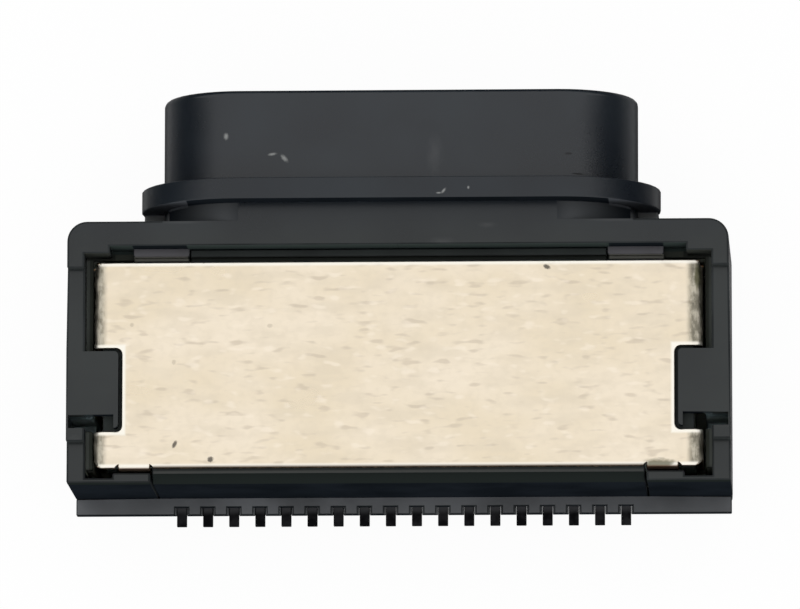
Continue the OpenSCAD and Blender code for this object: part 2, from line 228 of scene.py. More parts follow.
class Finish:
    """A material in the making: a Principled shader, and one way to add any other node."""

    def __init__(self, name):
        self.material = bpy.data.materials.new(name)
        self.material.use_nodes = True
        self.tree = self.material.node_tree
        self.shader = self.tree.nodes["Principled BSDF"]
        self.output = self.tree.nodes["Material Output"]

    def feed(self, socket, value):
        if isinstance(value, Value):
            self.tree.links.new(value.socket, socket)
        else:
            socket.default_value = value

    def node(self, kind, settings=None, sockets=None, out=0):
        made = self.tree.nodes.new("ShaderNode" + kind)
        for key, value in (settings or {}).items():
            setattr(made, key, value)
        for key, value in (sockets or {}).items():
            self.feed(made.inputs[key], value)
        return Value(self, made.outputs[out])

    def set(self, **sockets):
        for name, value in sockets.items():
            self.feed(self.shader.inputs[name.replace("_", " ")], value)

    def matte(self, colour):
        self.set(Base_Color=colour, Roughness=1.0, Specular_IOR_Level=0.0)

    def place(self, stretch=(1, 1, 1)):
        """Object coordinates in millimetres, stretched along each axis."""
        coordinates = self.node("TexCoord", out="Object")
        scale = [s / MM for s in stretch]
        return self.node("VectorMath", {"operation": "MULTIPLY"}, {0: coordinates, 1: scale})

    def axes(self):
        """X, Y and Z in millimetres, as three values."""
        split = self.node("SeparateXYZ", None, {0: self.place()})
        outputs = split.socket.node.outputs
        return [Value(self, outputs[i]) for i in range(3)]

    def noise(self, place, scale, detail=2, roughness=0.5):
        sockets = {"Vector": place, "Scale": scale, "Detail": detail, "Roughness": roughness}
        return self.node("TexNoise", None, sockets)

    def step(self, value, low, high):
        """A soft step from 0 at low to 1 at high, and the other way round if low is the larger."""
        settings = {"interpolation_type": "SMOOTHSTEP"}
        if low < high:
            return self.node("MapRange", settings, {0: value, 1: low, 2: high})
        return 1 - self.step(value, high, low)

    def within(self, value, low, high, soft=SPAN_SOFT):
        """1 where a value lies between low and high, and 0 outside, with slightly soft ends."""
        return self.step(value, low - soft, low + soft) * self.step(value, high + soft, high - soft)

    def mix(self, factor, first, second):
        """A colour between two colours."""
        sockets = {0: factor, MIX_FIRST: first, MIX_SECOND: second}
        return self.node("Mix", {"data_type": "RGBA"}, sockets, out=MIX_RESULT)

    def tinted(self, first, second):
        """Two colours multiplied."""
        settings = {"data_type": "RGBA", "blend_type": "MULTIPLY"}
        return self.node("Mix", settings, {0: 1.0, MIX_FIRST: first, MIX_SECOND: second}, out=MIX_RESULT)

    def cover(self, colour, where, share, tint):
        """A colour with a layer over it, which covers at most a share of what is below."""
        return self.mix(where * share, colour, tint)

    def drift(self, middle, *noises):
        """A value that each noise moves up and down about a middle one, by half its share."""
        for noise, share in noises:
            middle = middle + share * (noise - 0.5)
        return middle

    def spot(self, centre, size, turn, core):
        """A ragged mark: 1 in its core, a share of its size in millimetres, and 0 outside the size."""
        settings = {"vector_type": "TEXTURE"}
        sockets = {0: self.place(), 1: centre, 2: (0, 0, math.radians(turn)), 3: size}
        local = self.node("Mapping", settings, sockets)
        distance = self.node("VectorMath", {"operation": "LENGTH"}, {0: local}, out=1)
        edge = self.noise(local, RAGGED_SCALE) - 0.5
        return self.step(distance + RAGGED_SHARE * edge, 1, core)

    def bump(self, height, depth):
        """A normal that is tilted by a height of 0 to 1, where 1 stands depth millimetres proud."""
        return self.node("Bump", None, {"Strength": 1, "Distance": depth * MM, "Height": height})


print("shader helpers ready")

# %% [markdown]
# ## Floor and light
# The part was shot on white, in light so soft that it casts hardly any shadow. A white world
# lights it evenly from all around, and the floor is white to the camera and in reflections, with
# a share of its own shading left in so that the part's shadow still shows.

# %% World and floor
WORLD_LIGHT = 1.0
FLOOR_SIZE = 2.0
FLOOR_DROP = 0.01 * MM
FLOOR_COLOUR = (0.97, 0.97, 0.97, 1)
FLOOR_WHITE = 0.95

world = bpy.data.worlds.new("white_tent")
world.use_nodes = True
world.node_tree.nodes["Background"].inputs["Color"].default_value = (1, 1, 1, 1)
world.node_tree.nodes["Background"].inputs["Strength"].default_value = WORLD_LIGHT
bpy.context.scene.world = world
bpy.context.scene.view_settings.view_transform = "Standard"

bpy.ops.object.select_all(action="DESELECT")
bpy.ops.mesh.primitive_plane_add(size=FLOOR_SIZE, location=(0, 0, -FLOOR_DROP))
floor = bpy.context.object
floor.name = "floor"


def floor_finish():
    finish = Finish("pale_floor")
    finish.matte(FLOOR_COLOUR)
    light_path = finish.node("LightPath").socket.node.outputs
    seen = Value(finish, light_path["Is Camera Ray"])
    seen = seen + Value(finish, light_path["Is Glossy Ray"])
    seen = seen.at_most(1) + Value(finish, light_path["Is Transmission Ray"])
    white = finish.node("Emission", None, {"Color": (1, 1, 1, 1), "Strength": 1.0})
    shaded = Value(finish, finish.shader.outputs[0])
    both = finish.node("MixShader", None, {0: seen.at_most(1) * FLOOR_WHITE, 1: shaded, 2: white})
    finish.feed(finish.output.inputs["Surface"], both)
    return finish.material


floor.data.materials.append(floor_finish())
print("floor", FLOOR_SIZE, "m across")

# %% [markdown]
# ## Dark cards
# Black plastic on white loses its edges, because its rounded sides mirror the white all around.
# A photographer stands dark cards beside it, just outside the picture. Here they are one sloping
# frame round the part: a plane a little larger than the part's footprint, whose rim is extruded
# outwards and up, dark above and paler near the floor, so that a rounded side shows a dark band
# with a lighter rim below it. The plane itself stays as the card under the part, darker in the
# middle, which keeps the lowest rim of the nose from shining. Two upright cards beside the nose
# widen the band there. They turn white again at the top, which makes the band fade softly into
# the nose. Only reflections see the cards. The camera, the shadows and the soft light don't.

# %% Dark frame
CARD_GAP = 0.5 * MM
CARD_RUN = 4.0 * MM
CARD_RISE = 5.0 * MM

footprint = cad_box[1] - cad_box[0]
inner = Vector((footprint.x + 2 * CARD_GAP, footprint.y + 2 * CARD_GAP, 1))
outer = Vector((inner.x + 2 * CARD_RUN, inner.y + 2 * CARD_RUN, 1))

bpy.ops.object.select_all(action="DESELECT")
bpy.ops.mesh.primitive_plane_add(size=1)
cards = bpy.context.object
cards.name = "dark_cards"
bpy.ops.object.mode_set(mode="EDIT")
bpy.ops.transform.resize(value=inner)
bpy.ops.mesh.extrude_region()
bpy.ops.transform.resize(value=(outer.x / inner.x, outer.y / inner.y, 1))
bpy.ops.transform.translate(value=(0, 0, CARD_RISE))
bpy.ops.mesh.delete(type="ONLY_FACE")
bpy.ops.object.mode_set(mode="OBJECT")
print(cards.name, "with", len(cards.data.polygons), "faces")

# %% Cards beside the nose
NOSE_CARD_X = 7.0 * MM
NOSE_CARD_Y = (1.5 * MM, 5.0 * MM)
NOSE_CARD_Z = 7.5 * MM
LOOKS_SIDEWAYS = 0.5


def between_sides(face):
    """True for the faces of the box that join its two sides."""
    return abs(face.normal.x) < LOOKS_SIDEWAYS


bpy.ops.object.select_all(action="DESELECT")
bpy.ops.mesh.primitive_cube_add(size=1)
nose_cards = bpy.context.object
nose_cards.name = "nose_cards"
bpy.ops.object.mode_set(mode="EDIT")
bpy.ops.transform.resize(value=(2 * NOSE_CARD_X, NOSE_CARD_Y[1] - NOSE_CARD_Y[0], NOSE_CARD_Z))
bpy.ops.transform.translate(value=(0, sum(NOSE_CARD_Y) / 2, NOSE_CARD_Z / 2))
select_where(nose_cards, "FACE", between_sides)
bpy.ops.mesh.delete(type="FACE")
bpy.ops.object.mode_set(mode="OBJECT")
print(nose_cards.name, "with", len(nose_cards.data.polygons), "faces")

# %% Finish of the cards
CARD_PALE = (0.45, 0.45, 0.45, 1)
CARD_DARK = (0.02, 0.02, 0.02, 1)
CARD_GREY = (0.062, 0.062, 0.068, 1)
CARD_WHITE = (0.9, 0.9, 0.9, 1)
# The card under the part is darker in the middle, a painted shadow of the part on the floor.
CARD_FLOOR_SHADOW = ((0.12, 0.12, 0.12, 1), (0.55, 0.55, 0.55, 1))
# Where one shade turns into the next, in millimetres.
CARD_FADE = (0.6, 2.2)
CARD_FLOOR_SHADOW_X = (5.6, 6.7)
CARD_FLOOR_Z = (0.02, 0.05)
NOSE_CARD_FADE = (0.9, 2.8)
NOSE_CARD_TOP = (3.4, 7.5)


def card_finish():
    finish = Finish("dark_card")
    x, _, z = finish.axes()
    colour = finish.mix(finish.step(z, *CARD_FADE), CARD_PALE, CARD_DARK)
    # Under the part the card turns darker, a painted shadow that only reflections see.
    below = finish.mix(finish.step(abs(x), *CARD_FLOOR_SHADOW_X), *CARD_FLOOR_SHADOW)
    colour = finish.mix(finish.step(z, *CARD_FLOOR_Z), below, colour)
    finish.matte(colour)
    return finish.material


def nose_card_finish():
    finish = Finish("fading_card")
    z = finish.axes()[2]
    colour = finish.mix(finish.step(z, *NOSE_CARD_FADE), CARD_PALE, CARD_GREY)
    colour = finish.mix(finish.step(z, *NOSE_CARD_TOP), colour, CARD_WHITE)
    finish.matte(colour)
    return finish.material


for card, material in ((cards, card_finish()), (nose_cards, nose_card_finish())):
    card.visible_camera = False
    card.visible_diffuse = False
    card.visible_shadow = False
    card.visible_transmission = False
    card.data.materials.append(material)
    print(card.name, "is coated with", material.name)

# %% [markdown]
# ## Black moulded plastic
# The housing is injection moulded: a black polymer with a faint blue-grey cast that turns more
# neutral on the body, a satin skin from the mould, a slow drift where the melt flowed, and a few
# marks from handling, besides two painted highlights along the front top edge of the body. The
# plastic itself is nearly black, and the grey that shows is the white light on its satin skin. So
# the base colour stays very dark, and the roughness does the work.
# Marks could come from noise too, but a few clear ones are part of this housing's look, so they
# are listed one by one.

# %% Marks on the housing, in millimetres
NOSE_TOP = 3.43
FLANGE_TOP = 3.86
# Each mark is its centre, its half sizes and its turn in degrees.
PALE_MARKS = (
    ((-3.26, 3.11, NOSE_TOP), (0.06, 0.085, 0.2), 0),
    ((-2.38, 2.76, NOSE_TOP), (0.11, 0.035, 0.2), 8),
    ((-2.15, 2.68, NOSE_TOP), (0.12, 0.055, 0.2), -48),
    ((0.89, 1.97, FLANGE_TOP), (0.085, 0.032, 0.2), 50),
    ((0.8, 1.93, FLANGE_TOP), (0.07, 0.022, 0.2), 0),
    ((1.36, 2.03, FLANGE_TOP), (0.03, 0.04, 0.2), 0),
)
SMUDGES_AND_HIGHLIGHTS = (
    ((0.7, 2.73, NOSE_TOP), (0.2, 0.5, 0.2), 0),
    ((0.84, 1.05, NOSE_TOP), (0.34, 0.13, 0.2), 0),
    ((1.7, 1.38, NOSE_TOP), (0.22, 0.07, 0.2), 0),
    # painted highlights along the front top edge of the body, beside the neck
    ((-4.1, 1.47, NOSE_TOP), (0.62, 0.05, 0.2), 0),
    ((4.1, 1.47, NOSE_TOP), (0.7, 0.05, 0.2), 0),
    # a paler patch on the block beside the left slot
    ((-6.13, -2.66, NOSE_TOP), (0.17, 0.13, 0.4), 0),
)
DARK_NICKS = (
    ((3.24, 2.74, NOSE_TOP), (0.1, 0.025, 0.2), 0),
    ((3.44, 2.35, NOSE_TOP), (0.16, 0.02, 0.2), -4),
)
print("marks on the housing:", len(PALE_MARKS + SMUDGES_AND_HIGHLIGHTS + DARK_NICKS))

# %% Plastic of the housing
# Where the noise of the flow turns from its first shade to its second.
FLOW = (0.3, 0.7)
# How finely the flow and the grain repeat on the housing, and how rough its grain is.
HOUSING_NOISE = (0.55, 16)
GRAIN_ROUGH = 0.6
FLOW_SHADES = ((0.72, 0.74, 0.78, 1), (1.25, 1.22, 1.18, 1))
BODY_TINT = (0.0115, 0.015, 0.0155, 1)
NOSE_TINT = (0.0075, 0.0115, 0.0165, 1)
NOSE_TINT_Y = (0.9, 2.0)
# The share of a mark's size over which it has its full strength.
MARK_CORE = 0.45
SCUFF_CORE = 0.15
SMUDGE_AND_HIGHLIGHT_CORE = 0
# Each layer is the most that it covers, and its colour.
SMUDGE_AND_HIGHLIGHT_LAYER = (0.035, (0.5, 0.5, 0.5, 1))
SCUFF_LAYER = (0.6, (0.36, 0.37, 0.36, 1))
NICK_LAYER = (0.8, (0.002, 0.002, 0.003, 1))
# The roughness of the skin, its drift with the flow and the grain, and what marks add to it.
SATIN = 0.3
SATIN_DRIFT = (0.1, 0.08)
SCUFF_ROUGH = 0.3
NICK_ROUGH = 0.4
# The depth of the grain in millimetres, and that of the marks as a multiple of it.
SATIN_DEPTH = 0.0006
SCUFF_HEIGHT = 2
NICK_DEPTH = 6


def marks(finish, places, core=MARK_CORE):
    """All marks of one kind as one mask."""
    mask = finish.spot(*places[0], core)
    for place in places[1:]:
        mask = mask.at_least(finish.spot(*place, core))
    return mask


def flow_and_grain(finish, flow_scale, grain_scale):
    """The slow drift where the melt flowed, and the fine grain of the mould."""
    place = finish.place()
    flow = finish.noise(place, flow_scale, detail=3)
    return flow, finish.noise(place, grain_scale, detail=3, roughness=GRAIN_ROUGH)


def housing_finish(name, gloss):
    """Plastic of the housing, bluer towards the nose."""
    finish = Finish(name)
    y = finish.axes()[1]
    flow, grain = flow_and_grain(finish, *HOUSING_NOISE)
    scuffs = marks(finish, PALE_MARKS, SCUFF_CORE)
    smudges_and_highlights = marks(finish, SMUDGES_AND_HIGHLIGHTS, SMUDGE_AND_HIGHLIGHT_CORE)
    nicks = marks(finish, DARK_NICKS)
    tint = finish.mix(finish.step(y, *NOSE_TINT_Y), BODY_TINT, NOSE_TINT)
    shade = finish.mix(finish.step(flow, *FLOW), *FLOW_SHADES)
    colour = finish.tinted(tint, shade)
    # Smudges, and the painted highlights along the front top edge of the body.
    colour = finish.cover(colour, smudges_and_highlights, *SMUDGE_AND_HIGHLIGHT_LAYER)
    colour = finish.cover(colour, scuffs, *SCUFF_LAYER)
    colour = finish.cover(colour, nicks, *NICK_LAYER)
    roughness = finish.drift(SATIN, (flow, SATIN_DRIFT[0]), (grain, SATIN_DRIFT[1]))
    roughness = roughness + NICK_ROUGH * nicks + SCUFF_ROUGH * scuffs
    height = grain + scuffs * SCUFF_HEIGHT - nicks * NICK_DEPTH
    finish.set(Base_Color=colour, Roughness=roughness, Specular_IOR_Level=gloss)
    finish.set(Normal=finish.bump(height, SATIN_DEPTH))
    return finish.material


moulded_black = housing_finish("moulded_black", gloss=0.46)
nose_black = housing_finish("nose_black", gloss=0.55)
print("housing:", moulded_black.name, nose_black.name)

# %% [markdown]
# ## Plastic of the inner pieces
# The contact base and the upper carrier are black plastic too, greyer on the base and duller on
# the carrier, whose rear lip has a painted highlight. Each could have nodes of its own, but only the
# tint, the roughness and the gloss differ. So one function makes both, and also the plastic of the
# seats of the plate and of the softened edges.

# %% Plastic of the inner pieces
# The flow and the grain, the drift of the roughness with them, and the depth of the grain.
INNER_NOISE = (0.8, 20)
INNER_DRIFT = (0.12, 0.1)
INNER_DEPTH = 0.0008
# The darkest and the palest share of a tint, and the span of x from one end to the other.
CARRIER_SHADES = (0.75, 1.25)
CARRIER_ENDS = (-6, 6)
BASE_TINT = (0.082, 0.087, 0.094)
CARRIER_TINT = (0.014, 0.019, 0.018)
SEAT_TINT = (0.05, 0.049, 0.056)
EDGE_TINT = (0.027, 0.03, 0.031)
# The rear lip of the upper carrier, with a painted highlight over the last of its width.
LIP_HIGHLIGHT_FADE = (-3.23, -3.25)
LIP_HIGHLIGHT = (0.044, 0.047, 0.045, 1)


def carrier_finish(name, tint, roughness, gloss, end_tones=(1, 1), lip=False):
    """Plastic of the inner pieces. end_tones is how pale it is at the left and at the right end.

    With lip, a painted highlight runs along its rear edge too.
    """
    finish = Finish(name)
    x, y, _ = finish.axes()
    flow, grain = flow_and_grain(finish, *INNER_NOISE)
    shades = [tuple(shade * v for v in tint) + (1,) for shade in CARRIER_SHADES]
    colour = finish.mix(finish.step(flow, *FLOW), *shades)
    ends = [(v, v, v, 1) for v in end_tones]
    colour = finish.tinted(colour, finish.mix(finish.step(x, *CARRIER_ENDS), *ends))
    # With lip, a painted highlight along the rear edge.
    if lip:
        colour = finish.mix(finish.step(y, *LIP_HIGHLIGHT_FADE), colour, LIP_HIGHLIGHT)
    finish.set(Base_Color=colour, Specular_IOR_Level=gloss)
    drifts = (flow, INNER_DRIFT[0]), (grain, INNER_DRIFT[1])
    finish.set(Roughness=finish.drift(roughness, *drifts))
    finish.set(Normal=finish.bump(grain, INNER_DEPTH))
    return finish.material


base_black = carrier_finish("base_black", BASE_TINT, roughness=0.36, gloss=0.5, end_tones=(1.22, 0.86))
carrier_black = carrier_finish("carrier_black", CARRIER_TINT, roughness=0.6, gloss=0.28, lip=True)
seat_black = carrier_finish("seat_black", SEAT_TINT, roughness=0.4, gloss=0.5)
edge_black = carrier_finish("edge_black", EDGE_TINT, roughness=0.9, gloss=0.0)
print("inner pieces:", base_black.name, carrier_black.name, seat_black.name, edge_black.name)

# %% [markdown]
# ## Painted light in the recesses
# The faces that look backwards were left by a slide of the mould with a dull, eroded surface, and
# hardly reflect at all. The recesses lie in deep shade, so their insides are given painted light:
# they are paler than the bare plastic, the more so the deeper they lie, and a few places are left
# darker as painted shade. A recess is easy to name by its spans of x, y and z. So each row below
# is one recess with its painted colour, and one finish lays them over the dull plastic in turn.

# %% Recesses with painted light, in millimetres
ANY = (-9, 9)
# Each is the span of x on either side, of y and of z, and the colour in it.
PAINTED_RECESS_LIGHT = (
    # the low guides beside the plate, painted paler towards the wall, and the gaps below them, painted
    # paler still
    ((0, 5.88), (-3.25, 1.45), (2.6, 2.95), (0.06, 0.066, 0.056)),
    ((5.88, 6.2), (-3.25, 1.45), (2.6, 2.95), (0.11, 0.12, 0.11)),
    ((0, 6.2), (-3.25, 1.45), (0.3, 2.6), (0.45, 0.48, 0.42)),
    # the inside of the front wall, with painted shade behind the seats
    ((0, 6.2), (0.95, 1.1), (2.6, 3.5), (0.035, 0.047, 0.045)),
    ((4.0, 5.03), (0.95, 1.1), (2.6, 3.5), (0.009, 0.012, 0.015)),
    ((5.4, 6.2), (0.84, 0.95), (2.6, 3.5), (0.033, 0.036, 0.032)),
    # the edge of the carrier and the seats in front of the plate
    ((0, 4.0), (0.8, 0.9), (2.85, 3.1), (0.026, 0.029, 0.026)),
    ((4.0, 5.03), (0.8, 0.9), (2.85, 3.1), (0.17, 0.17, 0.15)),
    # the slots in the clips, which look darker the deeper they go, so that their painted light is paler
    # there
    ((5.78, 6.3), (-2.4, -2.1), (3.0, 3.24), (0.036, 0.048, 0.051)),
    ((5.78, 6.3), (-2.4, -2.1), (2.75, 3.0), (0.09, 0.12, 0.13)),
    ((5.78, 6.3), (-2.4, -2.1), (2.5, 2.75), (0.24, 0.32, 0.34)),
    ((5.78, 6.3), (-2.4, -2.1), (0.3, 2.5), (0.5, 0.6, 0.62)),
    # the back of the flange at its ends, and the web behind it
    ((4.0, 6.2), (1.8, 1.9), (0.2, 3.9), (0.07, 0.076, 0.086)),
    ((4.4, 6.2), (1.45, 1.83), (1.8, 2.1), (0.13, 0.135, 0.135)),
    # the joint between the housing and the carrier at the back, and the corners beside the tabs
    ((4.6, 4.8), (-3.445, -3.1), (0.6, 2.95), (0.05, 0.056, 0.062)),
    ((4.6, 5.8), (-3.2, -3.0), (1.0, 2.95), (0.8, 0.9, 0.85)),
    # the steps in the side walls, and the bevel behind the lip of the upper carrier
    ((5.95, 6.4), (-2.9, 0.9), (3.0, 3.5), (0.03, 0.034, 0.034)),
    (ANY, (-3.48, -3.28), (2.85, 3.1), (0.0143, 0.018, 0.017)),
)
# Painted light on the rounded ends of the neck, which fades out towards the sides.
NECK_LIGHT_X = (3.0, 4.1)
NECK_LIGHT_Y = (1.45, 1.83)
NECK_LIGHT_Z = (2.1, 2.2)
NECK_LIGHT_SOFT = 0.4
NECK_PAINTED_LIGHT = ((0.068, 0.072, 0.076, 1), (0.036, 0.039, 0.042, 1))
print("dusted recesses:", len(PAINTED_RECESS_LIGHT) + 1)

# %% Dull plastic with painted light
RECESS_SHADES = ((0.006, 0.008, 0.0105, 1), (0.01, 0.013, 0.017, 1))
RECESS_ROUGH = 0.85


def recess_finish():
    """Dull plastic with painted light, whose colour depends on the recess."""
    finish = Finish("recess_black")
    x, y, z = finish.axes()
    across = abs(x)
    flow, grain = flow_and_grain(finish, *INNER_NOISE)
    colour = finish.mix(finish.step(flow, *FLOW), *RECESS_SHADES)
    # Each recess gets its painted light, or its painted shade where the row is darker.
    for span_x, span_y, span_z, tint in PAINTED_RECESS_LIGHT:
        inside = finish.within(across, *span_x) * finish.within(y, *span_y) * finish.within(z, *span_z)
        colour = finish.mix(inside, colour, tint + (1,))
    on_neck = finish.within(across, *NECK_LIGHT_X, soft=NECK_LIGHT_SOFT)
    on_neck = on_neck * finish.within(y, *NECK_LIGHT_Y) * finish.step(z, *NECK_LIGHT_Z)
    neck_light = finish.mix(finish.step(across, *NECK_LIGHT_X), *NECK_PAINTED_LIGHT)
    colour = finish.mix(on_neck, colour, neck_light)
    finish.set(Base_Color=colour, Specular_IOR_Level=0.0)
    finish.set(Roughness=finish.drift(RECESS_ROUGH, (grain, INNER_DRIFT[1])))
    finish.set(Normal=finish.bump(grain, INNER_DEPTH))
    return finish.material


recess_black = recess_finish()
print(recess_black.name, "has", len(recess_black.node_tree.nodes), "nodes")

# %% [markdown]
# ## Plated sheet
# The shield plate is thin copper alloy with a pale warm plating, the colour of champagne. Rolling
# left short streaks along its length, from side to side here, some greyer and some brighter. A
# narrow band along the cut edges is a painted highlight of their rounded rims, the bends at the
# sides are scuffed and greyer, and the cut itself shows the bare brown metal under the plating,
# with a painted shadow beside it along the rear edge. A fold and a tab are rubbed down to an olive
# layer. A picture of a real sheet would blur when looked at closely. Noises that are stretched
# along the streaks, and masks measured from the plate's edges, stay crisp.

# %% Plan of the plate and marks on it, in millimetres
PLATE_TOP = 3.17
PLATE_FRONT = 0.735
PLATE_REAR = -3.2
NOTCH_X = 5.24
NOTCH_FRONT = -0.91
NOTCH_REAR = -2.5
# The painted highlight along the rims: how wide it is, and how far in it is at full strength.
EDGE_HIGHLIGHT_W = 0.1
EDGE_HIGHLIGHT_FULL = 0.4 * EDGE_HIGHLIGHT_W
PLATE_SPECKS = (
    ((-4.23, -2.75, PLATE_TOP), (0.048, 0.095, 0.1), -25),
    ((-3.55, -3.04, PLATE_TOP), (0.075, 0.065, 0.1), 20),
    ((2.82, 0.61, PLATE_TOP), (0.09, 0.05, 0.1), -25),
    ((-3.69, 0.74, PLATE_TOP), (0.05, 0.03, 0.1), 0),
)
PLATE_FAINT = (
    ((-5.05, -0.46, PLATE_TOP), (0.05, 0.05, 0.1), 0),
    ((-4.25, -1.18, PLATE_TOP), (0.05, 0.06, 0.1), 0),
    ((-2.43, -0.49, PLATE_TOP), (0.07, 0.05, 0.1), 0),
)
# One fold and one tab are rubbed.
OLIVE_RUBS = (
    ((5.68, 0.42, 3.1), (0.09, 0.34, 0.4), 0),
    ((4.95, -3.17, 3.1), (0.42, 0.14, 0.4), 0),
)
# The scuffs at the sides start a little nearer the middle on the right than on the left.
FOLD_X = 5.61
SCUFF_SHIFT = 0.03
SCUFF_X = (FOLD_X - 0.15, FOLD_X + 0.01)
# The browned bends of the tabs, and between the tabs the rear edge, brown like the cut and
# darkened as a painted shadow of the gap behind it.
TAB_FADE = (-3.12, -3.2)
TAB_FADE_Z = (PLATE_TOP - 0.008, PLATE_TOP - 0.035)
REAR_FADE = (PLATE_REAR + 0.068, PLATE_REAR + 0.005)
REAR_X = (4.66, 4.62)
print("marks on the plate:", len(PLATE_SPECKS + PLATE_FAINT + OLIVE_RUBS))

# %% Colours of the sheet
PLATING = ((0.835, 0.725, 0.55, 1), (0.905, 0.8, 0.645, 1))
WORN_TINTS = ((0.17, 0.16, 0.125, 1), (0.52, 0.485, 0.4, 1))
WORN_SHARE = 0.9
EDGE_HIGHLIGHT_TINT = (0.99, 0.95, 0.85, 1)
CUT_TINTS = ((0.16, 0.09, 0.045, 1), (0.46, 0.31, 0.18, 1))
# Each layer is the most that it covers, and its colour.
BAND_LAYER = (0.4, (0.74, 0.65, 0.51, 1))
GRAIN_LAYER = (0.25, (0.72, 0.63, 0.49, 1))
STREAK_LAYER = (0.42, (0.6, 0.52, 0.42, 1))
FLECK_LAYER = (0.5, (0.97, 0.87, 0.73, 1))
OLIVE_LAYER = (0.85, (0.13, 0.125, 0.07, 1))
TAB_LAYER = (0.9, (0.2, 0.115, 0.07, 1))
REAR_EDGE_AND_SHADOW_LAYER = (0.95, (0.08, 0.05, 0.03, 1))
FAINT_LAYER = (0.3, (0.3, 0.25, 0.18, 1))
SPECK_LAYER = (0.85, (0.035, 0.028, 0.02, 1))
# How finely each noise repeats along x, y and z.
CLOUD_SCALE = (0.5, 0.8, 1)
BAND_SCALE = (1.1, 3.4, 1)
STREAK_SCALE = (2.4, 8, 1)
FLECK_SCALE = (3, 7, 1)
GRAIN_SCALE = (6, 7, 1)
WEAR_SCALE = (9, 4, 9)
CUT_SCALE = (12, 12, 2)
WEAR_ROUGH = 0.65
# Where each noise starts to show, and where it shows fully.
CLOUD = (0.3, 0.7)
BAND = (0.45, 0.7)
GRAIN = (0.4, 0.75)
STREAK = (0.58, 0.74)
FLECK = (0.58, 0.76)
WORN = (0.35, 0.65)
CUT = (0.35, 0.7)
# The roughness of the plating, what streaks, worn bends and specks add to it, and its drift.
SHEET_ROUGH = 0.3
STREAK_ROUGH = 0.2
WORN_ROUGH = 0.18
SPECK_ROUGH = 0.3
CLOUD_DRIFT = 0.15
CUT_ROUGH = (0.3, 0.2)
SPECK_METAL = 0.9
# The height of the streaks in millimetres, and the rest as multiples of it.
STREAK_HEIGHT = 0.0007
GRAIN_HEIGHT = 0.3
WORN_HEIGHT = 8
SPECK_DEPTH = 5
CUT_HEIGHT = 0.002
print("plating from", PLATING[0][:3], "to", PLATING[1][:3])


# %% Sheet metal finishes
def sheet_finish():
    """Plating with streaks, painted rim highlights, worn bends, browned edges, a painted rear shadow,
    specks.
    """
    finish = Finish("plated_sheet")
    x, y, z = finish.axes()
    cloud = finish.noise(finish.place(CLOUD_SCALE), scale=1)
    band = finish.noise(finish.place(BAND_SCALE), scale=1)
    streak = finish.noise(finish.place(STREAK_SCALE), scale=1, detail=1)
    fleck = finish.noise(finish.place(FLECK_SCALE), scale=1, detail=1)
    grain = finish.noise(finish.place(GRAIN_SCALE), scale=1)
    wear = finish.noise(finish.place(WEAR_SCALE), scale=1, detail=3, roughness=WEAR_ROUGH)
    from_notch = (NOTCH_X - abs(x)).at_least(y - NOTCH_FRONT).at_least(NOTCH_REAR - y)
    from_edge = from_notch.at_most(PLATE_FRONT - y).at_most(y - PLATE_REAR)
    edge_highlight = finish.step(from_edge, EDGE_HIGHLIGHT_W, EDGE_HIGHLIGHT_FULL)
    side = finish.step(abs(x + SCUFF_SHIFT), *SCUFF_X)
    tab = finish.step(y, *TAB_FADE) * finish.step(z, *TAB_FADE_Z)
    rear = finish.step(y, *REAR_FADE) * finish.step(abs(x), *REAR_X)
    dark_streak = finish.step(streak, *STREAK)
    specks = marks(finish, PLATE_SPECKS)

    worn = finish.mix(finish.step(wear, *WORN), *WORN_TINTS)
    colour = finish.mix(finish.step(cloud, *CLOUD), *PLATING)
    colour = finish.cover(colour, finish.step(band, *BAND), *BAND_LAYER)
    colour = finish.cover(colour, finish.step(grain, *GRAIN), *GRAIN_LAYER)
    colour = finish.cover(colour, dark_streak, *STREAK_LAYER)
    colour = finish.cover(colour, finish.step(fleck, *FLECK), *FLECK_LAYER)
    colour = finish.cover(colour, side, WORN_SHARE, worn)
    # A painted highlight along the cut edges.
    colour = finish.mix(edge_highlight, colour, EDGE_HIGHLIGHT_TINT)
    colour = finish.cover(colour, marks(finish, OLIVE_RUBS), *OLIVE_LAYER)
    colour = finish.cover(colour, tab, *TAB_LAYER)
    # The rear edge between the tabs: brown cut metal, and a painted shadow of the gap behind it.
    colour = finish.cover(colour, rear, *REAR_EDGE_AND_SHADOW_LAYER)
    colour = finish.cover(colour, marks(finish, PLATE_FAINT), *FAINT_LAYER)
    colour = finish.cover(colour, specks, *SPECK_LAYER)
    finish.set(Base_Color=colour, Metallic=1.0 - SPECK_METAL * specks)
    roughness = SHEET_ROUGH + STREAK_ROUGH * dark_streak + WORN_ROUGH * side + SPECK_ROUGH * specks
    finish.set(Roughness=finish.drift(roughness, (cloud, CLOUD_DRIFT)))
    height = streak + GRAIN_HEIGHT * grain + side * wear * WORN_HEIGHT - specks * SPECK_DEPTH
    finish.set(Normal=finish.bump(height, STREAK_HEIGHT))
    return finish.material


def cut_edge_finish():
    """Bare metal that the punch dragged down, across the thickness of the sheet."""
    finish = Finish("cut_edge")
    drag = finish.noise(finish.place(CUT_SCALE), scale=1, detail=3)
    colour = finish.mix(finish.step(drag, *CUT), *CUT_TINTS)
    finish.set(Base_Color=colour, Metallic=1.0)
    finish.set(Roughness=CUT_ROUGH[0] + CUT_ROUGH[1] * drag)
    finish.set(Normal=finish.bump(drag, CUT_HEIGHT))
    return finish.material


plated_sheet = sheet_finish()
cut_edge = cut_edge_finish()
print("sheet metals:", plated_sheet.name, cut_edge.name)

# %% [markdown]
# ## Contact strip and latch springs
# Each contact is one stamped strip. Its spring end is flash plated with gold, and its tail is
# tinned and nearly black, with painted light on its root in the comb of the ledge, which shades
# it. The latch springs are steel, with the same dark tails. Each end could have a material of its
# own, but that would leave a hard border between them. So one finish fades along the strip, as
# plating does.

